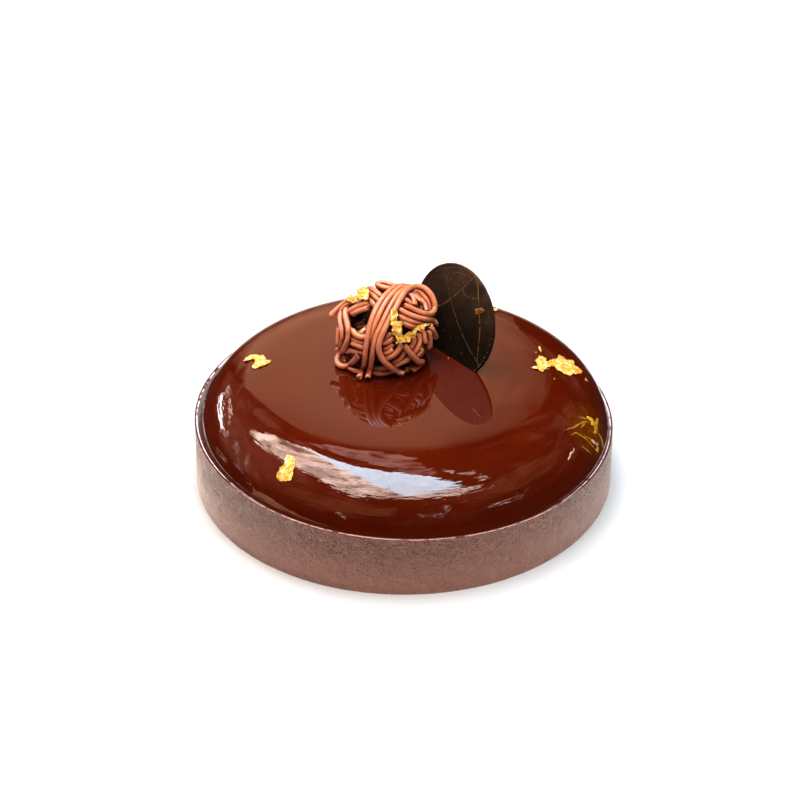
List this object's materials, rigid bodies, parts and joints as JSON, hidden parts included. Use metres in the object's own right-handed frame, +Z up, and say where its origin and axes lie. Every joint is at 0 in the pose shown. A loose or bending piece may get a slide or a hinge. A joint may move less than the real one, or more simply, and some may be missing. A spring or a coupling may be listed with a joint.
{
  "type": "chocolate gateau",
  "caption": "Round chocolate cake with a domed mirror glaze, a chocolate band round its side, a ball of piped strands, an upright chocolate disc and gold leaf on top.",
  "frame": {"origin": "centre of the cake's round underside", "axes": "+Z up out of the cake's top; -Y towards the front, the side the picture is taken from; +X to the right"},
  "size_m": [0.18, 0.18, 0.0875],
  "materials": {
    "mirror_glaze": "mirror gloss, dark reddish brown",
    "band_chocolate": "satin, with a fine wrinkled grain",
    "chestnut_cream": "soft satin",
    "dark_chocolate": "satin, with fine copper veins",
    "gold_leaf": "bright crumpled leaf"
  },
  "bodies": {
    "root": {"glazed_cake": "mirror_glaze", "chocolate_band": "band_chocolate", "strand_nest": "chestnut_cream", "chocolate_disc": "dark_chocolate"}
  },
  "joints": []
}
